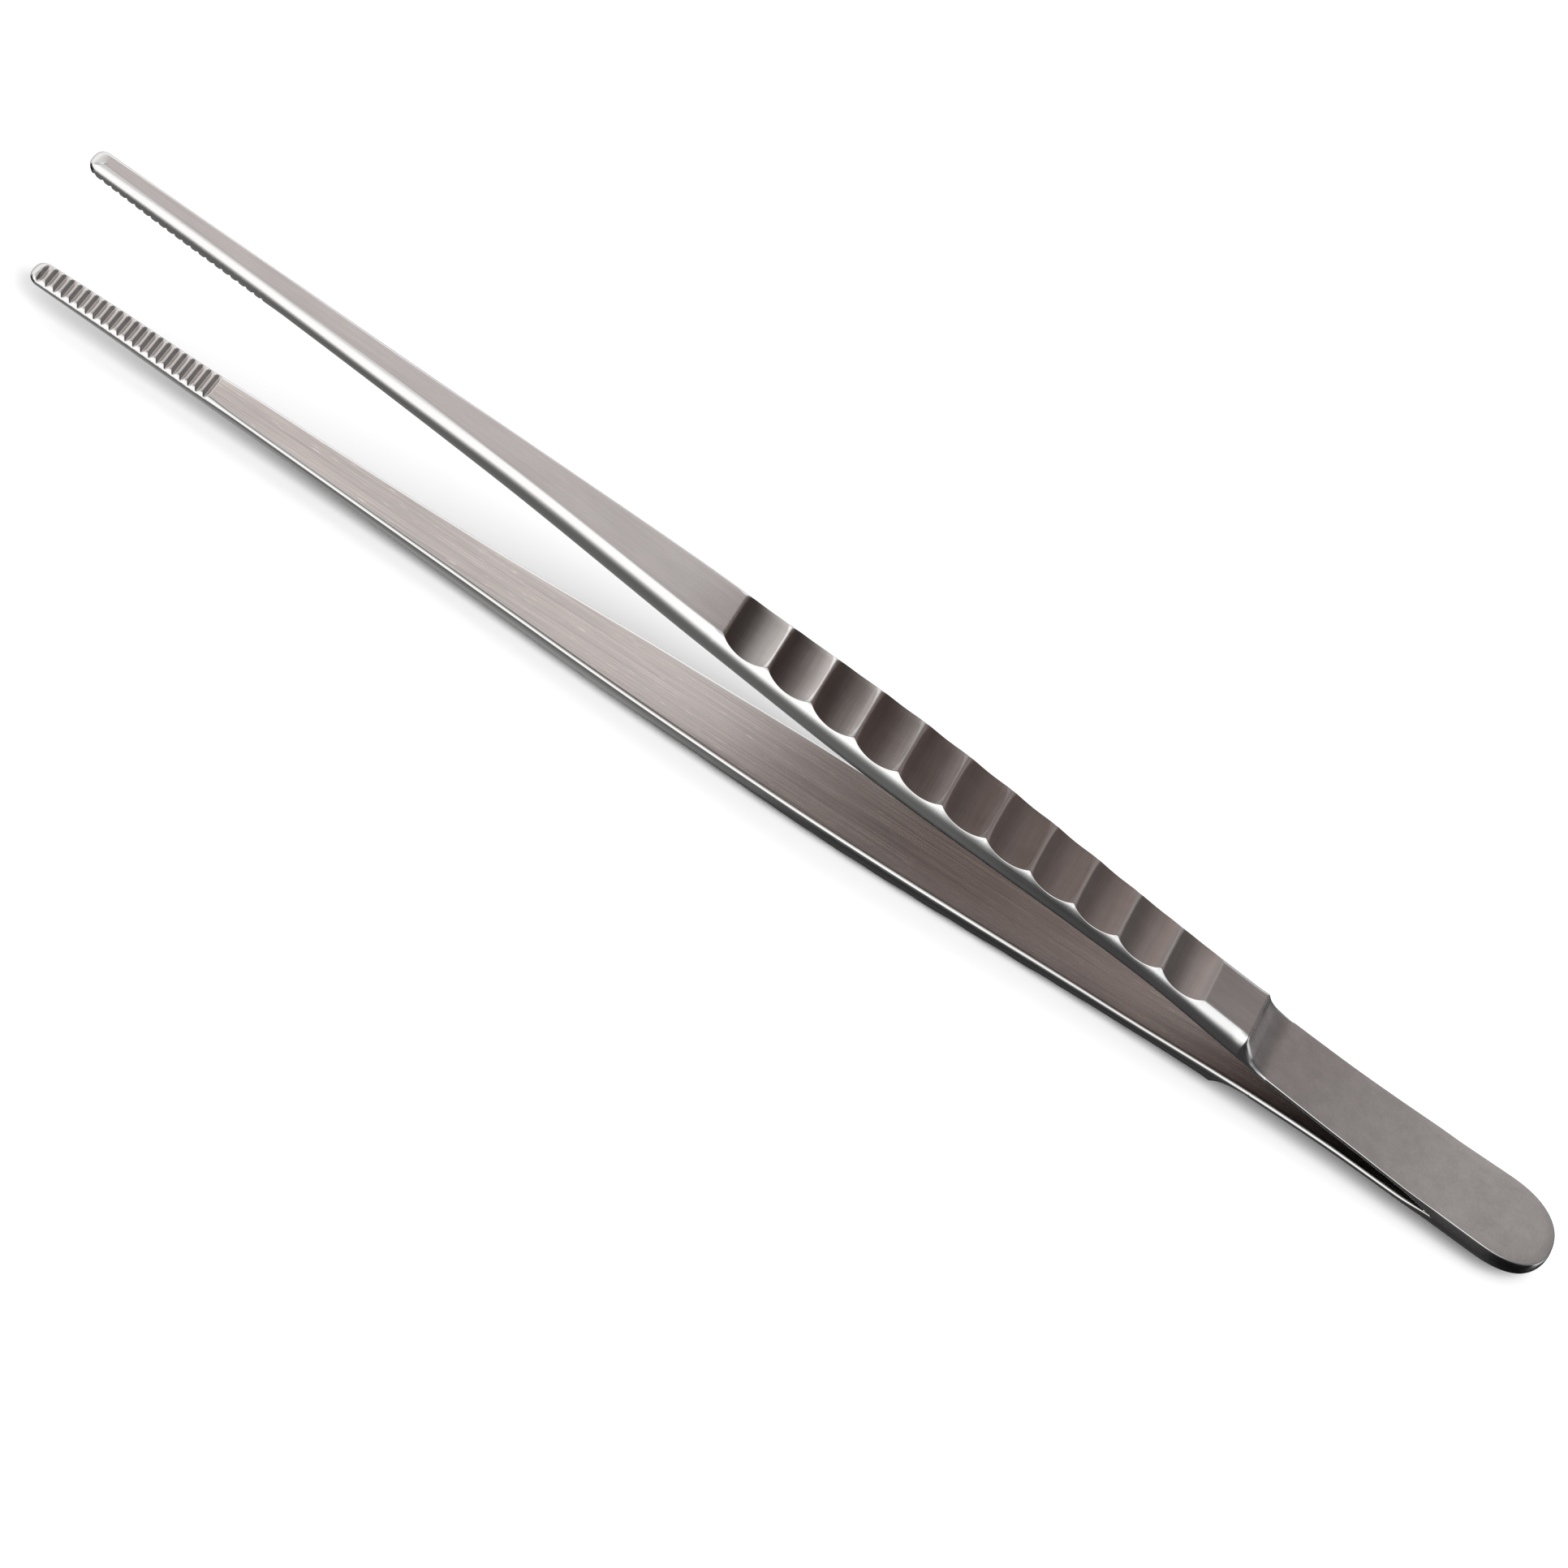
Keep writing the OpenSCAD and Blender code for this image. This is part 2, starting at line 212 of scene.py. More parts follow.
def inner_profiles():
    """The inner face without and with its grooves and the small relief at the tip."""
    plain = curve(INNER_FACE, ON_ARM_X)
    cut = plain.copy()
    half_groove = (GROOVE_PITCH - TOOTH_FLAT) / 2
    for x in GROOVE_X:
        cut += np.maximum(0, GROOVE_DEPTH * (1 - np.abs(PROFILE_X - x) / half_groove))
    relief_length, relief_depth = 0.88, 0.3
    relief_start = GROOVES_END + TOOTH_FLAT / 2
    cut += np.clip((PROFILE_X - relief_start) / relief_length, 0, 1) * relief_depth
    return plain, soften(cut, 0.035)


OUTER_PLAIN, OUTER_CUT = outer_profiles()
INNER_PLAIN, INNER_CUT = inner_profiles()


def superellipse(t, power):
    return np.maximum(1 - t**power, 0) ** (1 / power)


def heel_fraction(x):
    """1 at the very end of the heel, 0 where its rounding is over."""
    return np.clip(1 - x / HEEL_ROUND, 0, 1)


def heel_stations(count, endpoint):
    """Places along the rounding of the heel, crowded towards its end."""
    angle = np.linspace(0, math.pi / 2, count, endpoint=endpoint)
    return HEEL_ROUND * (1 - np.cos(angle) ** (2 / HEEL_POWER))


def mirrored(offsets):
    return np.array([-offset for offset in offsets] + [0.0] + list(offsets))


def arm_stations():
    """Places of the rings along an arm, close together where the surface turns."""
    stations = list(heel_stations(26, endpoint=False))
    for start, stop, step in (
        (HEEL_ROUND, X_CROTCH, 0.7),
        (X_CROTCH, X_RELIEF, 0.4),
        (X_RELIEF, X_FOOT - 0.4, 0.8),
        (X_FOOT - 0.4, X_STEP - 0.5, 0.2),
        (X_STEP - 0.5, X_STEP + 0.6, 0.07),
        (X_STEP + 0.6, X_PAD - 0.5, 0.5),
        (X_FRONT + 0.6, X_JAW - 1.0, 0.9),
    ):
        stations += list(np.arange(start, stop, step))
    crest_zone = 0.42
    for x in CREST_X:
        stations += list(x + mirrored((0.06, 0.12, 0.18, 0.24, 0.32, crest_zone)))
    for x in CREST_X[:-1]:
        floor_end = x + SCALLOP_PITCH - crest_zone
        stations += list(np.linspace(x + crest_zone, floor_end, 22)[1:-1])
    for x in GROOVE_X:
        stations.append(x - GROOVE_PITCH / 2)
        stations += list(x + mirrored((0.05, 0.12, 0.24, 0.36, 0.47, 0.52, 0.56, 0.60)))
    stations += list(GROOVES_END + mirrored((0.06,)))
    stations += list(X_TIP - TIP_ROUND + TIP_ROUND * np.sin(np.linspace(0, math.pi / 2, 22)))
    stations = np.unique(np.round(np.array(stations), 4))
    stations = stations[(stations >= 0) & (stations <= X_TIP)]
    # drop rings that crowd the one before
    kept = [stations[0]]
    for x in stations[1:]:
        if x - kept[-1] > (0.012 if (x < 2 or x > X_TIP - 0.6) else 0.028):
            kept.append(x)
    kept[-1] = X_TIP
    return np.array(kept)


STATIONS = arm_stations()


# ---------------------------------------------------------------------------
# Arm mesh
# ---------------------------------------------------------------------------
FACE, SIDE, CUT, TEETH, INNER, HEEL_FACE = range(6)  # material slots


def inner_edge(side):
    """Width, height and roundness of the inner edge at each station."""
    shape = [curve(INNER_EDGE[:, (0, column)], STATIONS) for column in (1, 2, 3)]
    if side > 0:  # the upper jaw has a crisper edge
        crisp = np.clip((STATIONS - (X_JAW - 5)) / 6, 0, 1)
        crisp = crisp * np.clip((X_TIP - 0.2 - STATIONS) / 1.5, 0, 1)
        crisp = crisp * crisp * (3 - 2 * crisp)
        shape = [old + crisp * (new - old) for old, new in zip(shape, (0.42, 0.34, 2))]
    return shape


def arm_rings(side):
    """Points in metres as [station, place round the ring, xyz], and the regions round a ring.

    Each ring starts in the middle of the inner face and goes up the +Y side to the outer face.
    """
    heel = heel_fraction(STATIONS)
    tip = np.clip((STATIONS - (X_TIP - TIP_ROUND)) / TIP_ROUND, 0, 1)
    closing = superellipse(heel, HEEL_POWER) * superellipse(tip, TIP_POWER)
    edge_y, edge_z, edge_power = inner_edge(side)
    section_x = np.clip(STATIONS + 0.2 * heel * edge_y - tip * edge_y, 0, X_TIP)
    width = curve(HALF_WIDTH, section_x)
    inset = curve(SIDE_INSET, section_x)
    inner, outer, inner_cut, outer_cut = (
        np.interp(section_x, PROFILE_X, profile)
        for profile in (INNER_PLAIN, OUTER_PLAIN, INNER_CUT, OUTER_CUT)
    )
    if side > 0:  # slightly deeper grooves
        inner_cut = inner + (inner_cut - inner) * 1.12
    outer_cut = np.minimum(outer_cut, outer)
    inner_cut = np.maximum(inner_cut, inner)

    # Place on the section: 0..1 round the inner edge, 1..2 up the side, a 60 degree arc
    sin60 = math.sin(math.radians(60))
    side_height = outer - inner - edge_z

    def place_of(z):
        edge_part = np.clip((z - inner) / edge_z, 0, 1)
        on_edge = np.arccos(np.clip((1 - edge_part) ** (edge_power / 2), -1, 1)) / (math.pi / 2)
        sine = np.clip((z - inner - edge_z) / side_height, 0, 1) * sin60
        return np.where(z < inner + edge_z, on_edge, 1 + np.degrees(np.arcsin(sine)) / 60)

    def point_at(place):
        """Distance in from the full width, and height."""
        turn = np.clip(place, 0, 1) * math.pi / 2
        lean = np.radians(60 * np.clip(place - 1, 0, 1))
        sine = np.abs(np.sin(turn)) ** (2 / edge_power)
        cosine = np.abs(np.cos(turn)) ** (2 / edge_power)
        depth = np.where(place <= 1, edge_y * (1 - sine), 2 * inset * (1 - np.cos(lean)))
        on_side = inner + edge_z + side_height * np.sin(lean) / sin60
        return depth, np.where(place <= 1, inner + edge_z * (1 - cosine), on_side)

    # The outer corner is rounder on the crests, the pad and the two ends
    on_grip = (section_x > X_FOOT) & (section_x < X_FRONT + 1)
    crest = np.where(on_grip, np.exp(-((outer - outer_cut) / 0.10) ** 2), 0.0)
    corner = 0.07 + 0.17 * crest + 0.05 * heel + 0.2 * tip
    side_end_z = np.maximum(outer_cut - corner, inner_cut + 0.5 * (outer_cut - inner_cut))
    side_start, side_end = place_of(inner_cut), place_of(side_end_z)

    # Columns of (depth, height, region that follows, lag behind the rounded end)
    columns = []
    edge_depth, _ = point_at(side_start)
    for part in (0.0, 0.28, 0.56, 0.8):
        depth = width - part * (width - edge_depth)
        columns.append((depth, inner_cut, "inner", np.minimum(depth, edge_y)))

    tip_lag = 1 + 0.8 * tip
    side_points = 13
    for k in range(side_points):
        place = side_start + (side_end - side_start) * (k / (side_points - 1))
        depth, z = point_at(place)
        if k == 0:
            z = inner_cut
        side_lag = np.minimum(tip_lag * depth, 2.3)
        lag = np.where(place <= 1, np.minimum(depth, edge_y), side_lag)
        columns.append((depth, z, "side", lag))

    side_depth, side_z = point_at(side_end)
    top_depth, _ = point_at(place_of(outer_cut))
    flat_depth = top_depth + np.minimum(corner, 0.4 * np.maximum(width - top_depth, 0.05))
    for t in (0.25, 0.5, 0.75):
        start, middle, end = (1 - t) ** 2, 2 * t * (1 - t), t * t
        depth = start * side_depth + middle * top_depth + end * flat_depth
        z = start * side_z + middle * outer_cut + end * outer_cut
        columns.append((depth, z, "side", np.minimum(tip_lag * depth, 2.3)))

    lag_limit = np.where(STATIONS < 100, 9.0, 2.3)
    for part in (0.0, 0.22, 0.5, 0.76, 1.0):
        depth = flat_depth + part * (width - flat_depth)
        columns.append((depth, outer_cut, "outer", np.minimum(tip_lag * depth, lag_limit)))

    half = np.stack([
        np.stack([
            STATIONS + heel * np.minimum(lag, 7.5) - tip * lag,
            (width - depth) * closing,
            side * z,
        ], axis=1)
        for depth, z, _, lag in columns
    ], axis=1)
    points = np.concatenate([half, half[:, -2:0:-1] * (1, -1, 1)], axis=1) * MM
    regions = [column[2] for column in columns]
    return points, regions[:-1] + regions[-2::-1]


def arm_slot(region, x):
    """Material slot of a face."""
    if region == "side":
        return SIDE
    if region == "inner":
        return TEETH if x > GROOVES_END - GROOVE_COUNT * GROOVE_PITCH - 0.1 else INNER
    if x < X_STEP - 0.6:
        return HEEL_FACE
    return CUT if X_PAD < x < X_FRONT else FACE


def merged_ends(points):
    """Vertex numbers as [station, place], with points that coincide in the end rings merged."""
    number = np.arange(points.shape[0] * points.shape[1]).reshape(points.shape[:2])
    for i in (0, -1):
        seen = {}
        for j in range(points.shape[1]):
            key = tuple(np.round(points[i, j] / 1e-7).astype(int))
            number[i, j] = seen.setdefault(key, number[i, j])
    return number


def add_object(name, data):
    obj = bpy.data.objects.new(name, data)
    bpy.context.scene.collection.objects.link(obj)
    return obj


def add_arm(name, side):
    """One arm in one piece, heel plate to jaw: side = 1 upper, -1 lower."""
    points, regions = arm_rings(side)
    number = merged_ends(points)
    closed = np.concatenate([points, points[:, :1]], axis=1)
    girth = np.zeros(closed.shape[:2])
    girth[:, 1:] = np.cumsum(np.linalg.norm(np.diff(closed, axis=1), axis=2), axis=1)
    faces, slots, grain = [], [], []
    for j, region in enumerate(regions):
        ends = (j, (j + 1) % len(regions))
        # grain map: u along the arm, v across it, each region set apart by an offset
        if region == "side":
            across = (girth[:, j] + 0.1, girth[:, j + 1] + 0.1)
        else:
            offset = 0.0 if region == "inner" else 0.05
            across = [points[:, end, 1] + offset for end in ends]
        for i in range(len(STATIONS) - 1):
            quad = [(i, 0), (i, 1), (i + 1, 1), (i + 1, 0)]
            if side > 0:
                quad = [quad[0], *quad[:0:-1]]
            corners = {}
            for row, k in quad:
                uv = (points[row, ends[k], 0], across[k][row])
                corners.setdefault(int(number[row, ends[k]]), uv)
            if len(corners) >= 3:
                faces.append(list(corners))
                slots.append(arm_slot(region, 0.5 * (STATIONS[i] + STATIONS[i + 1])))
                grain += corners.values()
    used = sorted({vertex for face in faces for vertex in face})
    new_number = {vertex: n for n, vertex in enumerate(used)}
    flat = points.reshape(-1, 3)
    mesh = bpy.data.meshes.new(name)
    mesh.from_pydata(
        [tuple(flat[vertex]) for vertex in used], [],
        [[new_number[vertex] for vertex in face] for face in faces],
    )
    mesh.polygons.foreach_set("material_index", slots)
    layer = mesh.uv_layers.new(name="grain")
    layer.data.foreach_set("uv", [value for uv in grain for value in uv])
    mesh.polygons.foreach_set("use_smooth", [True] * len(mesh.polygons))
    mesh.update()
    mesh.validate()
    return add_object(name, mesh)


# ---------------------------------------------------------------------------
# Materials
# ---------------------------------------------------------------------------
class Graph:
    """A short way to write shader nodes. Inputs may be numbers, colours or sockets."""

    def __init__(self, owner):
        owner.use_nodes = True
        self.tree = owner.node_tree
        self.tree.nodes.clear()

    def node(self, kind, **settings):
        node = self.tree.nodes.new(kind)
        for key, value in settings.items():
            setattr(node, key, value)
        return node

    def put(self, socket, value):
        if hasattr(value, "links"):
            self.tree.links.new(value, socket)
        else:
            socket.default_value = value

    def math(self, operation, a, b=0.0):
        node = self.node("ShaderNodeMath", operation=operation)
        self.put(node.inputs[0], a)
        self.put(node.inputs[1], b)
        return node.outputs[0]

    def plus(self, a, b):
        return self.math("ADD", a, b)

    def times(self, a, b):
        return self.math("MULTIPLY", a, b)

    def split(self, vector):
        """The x, y and z of a vector."""
        node = self.node("ShaderNodeSeparateXYZ")
        self.put(node.inputs[0], vector)
        return node.outputs

    def coords(self, kind):
        return self.node("ShaderNodeTexCoord").outputs[kind]

    def noise(self, vector, frequency, detail=2, rough=0.5):
        """Noise with a frequency for each axis."""
        scaled = self.node("ShaderNodeVectorMath", operation="MULTIPLY")
        self.put(scaled.inputs[0], vector)
        self.put(scaled.inputs[1], frequency)
        node = self.node("ShaderNodeTexNoise")
        self.put(node.inputs["Vector"], scaled.outputs[0])
        node.inputs["Scale"].default_value = 1.0
        node.inputs["Detail"].default_value = detail
        node.inputs["Roughness"].default_value = rough
        return node.outputs[0]

    def ramp(self, value, stops, interpolation="LINEAR"):
        """Stops are (position, grey level or colour)."""
        node = self.node("ShaderNodeValToRGB")
        node.color_ramp.interpolation = interpolation
        elements = node.color_ramp.elements
        while len(elements) < len(stops):
            elements.new(0.5)
        for element, (position, colour) in zip(elements, stops):
            element.position = position
            element.color = (*colour, 1) if isinstance(colour, tuple) else (*[colour] * 3, 1)
        self.put(node.inputs[0], value)
        return node.outputs[0]

    def mix(self, factor, a, b, kind="MIX"):
        node = self.node("ShaderNodeMix", data_type="RGBA", blend_type=kind)
        self.put(node.inputs[0], factor)
        self.put(node.inputs[6], (*a, 1) if isinstance(a, tuple) else a)
        self.put(node.inputs[7], (*b, 1) if isinstance(b, tuple) else b)
        return node.outputs[2]

    def remap(self, value, source, target):
        """Carry the source range over to the target range, clamped."""
        node = self.node("ShaderNodeMapRange", clamp=True)
        for socket, number in zip(node.inputs, (value, *source, *target)):
            self.put(socket, number)
        return node.outputs[0]

    def levels(self, value, span, knots, top):
        """Grey level up to top that follows knots of (value, level) over a span."""
        low, high = span
        stops = [((at - low) / (high - low), level / top) for at, level in knots]
        return self.times(self.ramp(self.remap(value, span, (0, 1)), stops), top)


# Frequencies of the fine, middle and coarse brush lines, along u and v of the grain map
LINES_ALONG = ((70, 6500, 0), (24, 2300, 0), (11, 760, 0))
LINES_ACROSS = ((5200, 160, 0), (1900, 70, 0), (620, 30, 0))

# Painted shade along one scallop: brightness from its heel end (0) to its tip end (1)
SCALLOP_PAINTED_SHADE = [
    (0.0, 1.0), (0.12, 1.0), (0.32, 0.84), (0.55, 0.68), (0.8, 0.48), (0.93, 0.48), (1.0, 0.8),
]


def scallop_painted_light(g, tone, position, crest_highlight):
    """Painted highlight along the crest lines, partly worn edges, and painted shade along each
    scallop.
    """
    x, y = position[0], position[1]
    turns = g.math("DIVIDE", g.math("SUBTRACT", x, X_PAD * MM), SCALLOP_PITCH * MM)
    phase = g.math("FRACT", g.plus(turns, 0.5))  # 0.5 on a crest
    off_crest = g.math("ABSOLUTE", g.math("SUBTRACT", phase, 0.5))
    # painted highlight along each crest, partly worn edge, wider towards its ends
    flare = g.remap(g.math("ABSOLUTE", y), (2.2 * MM, 5.2 * MM), (1.0, 0.38))
    line = g.remap(g.times(off_crest, flare), (0.016, 0.045), (crest_highlight, 0))
    wear = g.noise(g.coords("Object"), (60, 900, 60), rough=0.6)
    crest_wear_and_sheen = g.times(line, g.remap(wear, (0.3, 0.65), (0.6, 1.15)))
    tone = g.times(tone, g.plus(1.0, crest_wear_and_sheen))

    # painted shade and light: each scallop darker towards its tip end, the scallops lighter
    # before x = 110 mm and a little darker past 142 mm
    along = g.math("FRACT", g.plus(phase, 0.5))
    grip_painted_gradient = g.remap(x, (110 * MM, 142 * MM), (1.32, 0.95))
    tone = g.times(tone, g.times(g.ramp(along, SCALLOP_PAINTED_SHADE), grip_painted_gradient))
    # painted highlight: the heel ends of the scallops near the heel end of the grip are lighter
    painted_highlight_strength = g.remap(x, (62 * MM, 92 * MM), (0.55, 0.0))
    painted_highlight = g.times(painted_highlight_strength, g.remap(along, (0.05, 0.34), (1, 0)))
    return g.times(tone, g.plus(1.0, painted_highlight))


def steel(name, colour, rough, streak, aniso, bump, across=False, mottled=0.04, speckle=0.0,
          clouds=(90, 240, 240), dashes=0.0, crest_highlight=0.0, rear_shade=1.0):
    """Stainless steel with brush lines along the arm, or across it.

    streak, mottled, speckle and dashes are strengths of brightness changes, clouds the
    frequency of the mottling, bump a depth in metres. The crest argument is the strength of the
    painted highlight on the scallop crests, partly worn edges, and the rear argument the
    brightness of the painted shade at the heel end.
    """
    material = bpy.data.materials.new(name)
    g = Graph(material)
    output = g.node("ShaderNodeOutputMaterial")
    shader = g.node("ShaderNodeBsdfPrincipled")
    g.put(output.inputs[0], shader.outputs[0])
    uv = g.node("ShaderNodeUVMap", uv_map="grain").outputs[0]
    position = g.coords("Object")

    fine_size, middle_size, coarse_size = LINES_ACROSS if across else LINES_ALONG
    fine = g.noise(uv, fine_size, detail=3, rough=0.6)
    middle = g.noise(uv, middle_size, rough=0.55)
    coarse = g.noise(uv, coarse_size)
    lines = g.plus(g.times(fine, 0.5), g.plus(g.times(middle, 0.3), g.times(coarse, 0.2)))
    cloud = g.noise(position, clouds, detail=3, rough=0.6)

    tone = g.remap(lines, (0.36, 0.64), (1 - streak, 1 + 1.15 * streak))
    tone = g.times(tone, g.remap(cloud, (0.3, 0.7), (1 - mottled, 1 + mottled)))
    if speckle:
        grit = g.noise(position, (2600, 2600, 2600), rough=0.6)
        tone = g.times(tone, g.remap(grit, (0.3, 0.7), (1 - speckle, 1 + speckle)))
    if dashes:  # short bright nicks along the brushing
        nick = g.noise(uv, (330, 3600, 0), detail=1)
        tone = g.times(tone, g.remap(nick, (0.68, 0.76), (1, 1 + dashes)))
    if rear_shade < 1:  # painted shade: darker where the leaves close up
        x = g.split(position)[0]
        tone = g.times(tone, g.remap(x, (28 * MM, 66 * MM), (rear_shade, 1.0)))
    if crest_highlight:
        tone = scallop_painted_light(g, tone, g.split(position), crest_highlight)
    grey = g.node("ShaderNodeCombineColor")
    for i in range(3):
        g.put(grey.inputs[i], tone)
    g.put(shader.inputs["Base Color"], g.mix(1.0, colour, grey.outputs[0], "MULTIPLY"))

    line_rough = g.remap(lines, (0.35, 0.65), (rough - 0.05, rough + 0.05))
    cloud_rough = g.remap(cloud, (0.3, 0.7), (-0.02, 0.02))
    g.put(shader.inputs["Roughness"], g.plus(line_rough, cloud_rough))
    tangent = g.node("ShaderNodeTangent", direction_type="UV_MAP", uv_map="grain")
    relief = g.node("ShaderNodeBump")
    g.put(relief.inputs["Strength"], 1.0)
    g.put(relief.inputs["Distance"], bump)
    g.put(relief.inputs["Height"], lines)
    for key, value in {
        "Metallic": 1.0,
        "Anisotropic": aniso,
        "Anisotropic Rotation": 0.0 if across else 0.25,
        "Tangent": tangent.outputs[0],
        "Normal": relief.outputs[0],
    }.items():
        g.put(shader.inputs[key], value)
    return material


mat_face = steel("steel_satin_face", colour=(0.60, 0.548, 0.532), rough=0.25, streak=0.05,
                 aniso=0.5, bump=3e-6)
mat_inner = steel("steel_satin_inner_painted_shade", colour=(0.655, 0.588, 0.562), rough=0.25, streak=0.19,
                  aniso=0.55, bump=5e-6, dashes=0.4, rear_shade=0.5)
mat_heel = steel("steel_matte_heel", colour=(0.565, 0.512, 0.496), rough=0.33, streak=0.015,
                 aniso=0.15, bump=0.8e-6, mottled=0.06, speckle=0.05, clouds=(420, 420, 420))
mat_side = steel("steel_polished_side", colour=(0.66, 0.65, 0.64), rough=0.17, streak=0.02,
                 aniso=0.3, bump=1.0e-6, mottled=0.02)
mat_cut = steel("steel_ground_scallop_painted_light", colour=(0.60, 0.555, 0.535), rough=0.18, streak=0.05,
                aniso=0.4, bump=1.5e-6, across=True, crest_highlight=1.3)
mat_teeth = steel("steel_cut_serration", colour=(0.60, 0.56, 0.545), rough=0.20, streak=0.05,
                  aniso=0.3, bump=1.5e-6, across=True)

for word, side in (("upper", 1), ("lower", -1)):
    arm = add_arm(f"arm_{word}", side)
    for material in (mat_face, mat_side, mat_cut, mat_teeth, mat_inner, mat_heel):
        arm.data.materials.append(material)
    body = f"{word}_arm"
    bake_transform(arm)
    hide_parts(f"{word}_heel_leaf", body)


# ---------------------------------------------------------------------------
# Heel weld: a bead round the parting line, and a fillet in the crotch
# ---------------------------------------------------------------------------
def bead_rings():
    """Cross-sections of the bead, from the +Y side round the heel end to the -Y side."""
    straight = np.linspace(HEEL_ROUND, X_CROTCH + 0.8, 24)[1:]
    x = np.concatenate([heel_stations(90, endpoint=True), straight])
    y = curve(HALF_WIDTH, x) * superellipse(heel_fraction(x), HEEL_POWER)
    outline = np.stack([x, y], 1)
    path = np.concatenate([outline[::-1], outline[1:] * [1, -1]])
    tangent = np.gradient(path, axis=0)
    tangent /= np.linalg.norm(tangent, axis=1)[:, None]
    outward = np.stack([tangent[:, 1], -tangent[:, 0]], 1)
    steps = np.linalg.norm(np.diff(path, axis=0), axis=1)
    run = np.concatenate([[0], np.cumsum(steps)])
    rings = []
    for point, normal, length in zip(path, outward, run):
        ripple = 0.006 * math.sin(length * 5.1) + 0.004 * math.sin(length * 11.7 + 1.3)
        section = [
            (0.02 + ripple - 0.05 * (1 - math.cos(angle)), 0.27 * math.sin(angle))
            for angle in map(math.radians, np.linspace(-90, 90, 9))
        ]
        section += [(-0.3, 0.12), (-0.3, -0.12)]
        rings.append([(*(point + normal * out), z) for out, z in section])
    return rings


def fillet_rings():
    """Cross-sections of the crotch wedge with its hollow front, from -Y to +Y."""
    start, front = X_CROTCH + 0.4, X_CROTCH + 2.1
    overlap, hollow = 0.02, 0.35  # into the arms, and of the front face
    wall = [
        (x, float(curve(INNER_FACE, x)) + overlap)
        for x in (start + (front - X_CROTCH - 0.4) * np.linspace(0, 1, 7))
    ]
    height = wall[-1][1]
    section = [(X_CROTCH - 0.3, 0.0), *wall]
    section += [
        (front - hollow * (1 - t * t), height * t) for t in np.linspace(1, -1, 7)[1:-1]
    ]
    section += [(x, -z) for x, z in reversed(wall)]
    return [
        [(x, y * (float(curve(HALF_WIDTH, x)) - 0.12 - 0.10 * abs(y) ** 8), z)
         for x, z in section]
        for y in np.linspace(-1, 1, 25)
    ]


def loft(rings, first_vertex, flip):
    """Faces joining the rings in turn, with both ends closed."""
    count = len(rings[0])
    rows = [
        [first_vertex + i * count + j for j in range(count)] for i in range(len(rings))
    ]
    faces = []
    for row, following in zip(rows, rows[1:]):
        for j in range(count):
            k = (j + 1) % count
            quad = (row[j], row[k], following[k], following[j])
            faces.append((quad[0], *quad[:0:-1]) if flip else quad)
    faces.append(rows[0] if flip else rows[0][::-1])
    faces.append(rows[-1][::-1] if flip else rows[-1])
    return faces


def add_weld(name):
    bead, fillet = bead_rings(), fillet_rings()
    verts = [tuple(np.array(point) * MM) for ring in bead + fillet for point in ring]
    faces = loft(bead, 0, flip=False)
    faces += loft(fillet, len(bead) * len(bead[0]), flip=True)
    mesh = bpy.data.meshes.new(name)
    mesh.from_pydata(verts, [], faces)
    layer = mesh.uv_layers.new(name="grain")
    for loop in mesh.loops:
        x, y, z = mesh.vertices[loop.vertex_index].co
        layer.data[loop.index].uv = (x, y + z)
    mesh.polygons.foreach_set("use_smooth", [True] * len(mesh.polygons))
    mesh.update()
    bm = bmesh.new()
    bm.from_mesh(mesh)
    bmesh.ops.recalc_face_normals(bm, faces=bm.faces)
    bm.to_mesh(mesh)
    bm.free()
    return add_object(name, mesh)


weld = add_weld("weld_bead")
weld.data.materials.append(mat_side)
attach(weld, "heel")
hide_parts("heel_weld")


# ---------------------------------------------------------------------------
# Stage: pale floor, studio surroundings, dark cards and a key light, all in metres
# ---------------------------------------------------------------------------
def add_sheet(name, length, width, location, rotation):
    """A flat rectangle of the stage."""
    x, y = length / 2, width / 2
    mesh = bpy.data.meshes.new(name)
    mesh.from_pydata([(-x, -y, 0), (x, -y, 0), (x, y, 0), (-x, y, 0)], [], [(0, 1, 2, 3)])
    obj = add_object(name, mesh)
    obj.location, obj.rotation_euler = location, rotation
    return obj


def add_floor():
    """The tongs rest on the belly of the lower arm, so the floor is tilted to suit."""
    rest_x, gap, slope = 0.125, 0.00015, 0.055
    rest_z = -float(curve(CREST_TOP, rest_x / MM)) * MM - gap
    floor = add_sheet("floor", 8.0, 8.0, (rest_x, 0, rest_z), (0, math.atan(slope), 0))
    material = bpy.data.materials.new("floor_pale")
    g = Graph(material)
    output = g.node("ShaderNodeOutputMaterial")
    shader = g.node("ShaderNodeBsdfPrincipled")
    g.put(output.inputs[0], shader.outputs[0])
    patches = g.noise(g.coords("Object"), (6, 6, 6), detail=3)
    g.put(shader.inputs["Base Color"], g.ramp(patches, [(0.0, 0.90), (1.0, 0.92)]))
    g.put(shader.inputs["Roughness"], 0.9)
    g.put(shader.inputs["Specular IOR Level"], 0.1)
    floor.data.materials.append(material)
    floor.visible_glossy = False


# Studio levels. "Near" is the +Y half, where the camera stands, and "far" the -Y half.
# (elevation in degrees, level)
NEAR_LEVEL = [
    (-90, 0.55), (-70, 0.42), (-45, 0.26), (-10, 0.20), (2, 0.26), (10, 0.5), (18, 1.1),
    (26, 2.0), (62, 2.0), (76, 1.2), (90, 0.8),
]
FAR_LEVEL = [
    (-90, 0.55), (-70, 0.42), (-45, 0.40), (-25, 0.7), (-10, 1.4), (4, 1.9), (24, 1.9),
    (33, 1.4), (42, 1.0), (60, 0.95), (76, 1.2), (90, 2.0),
]
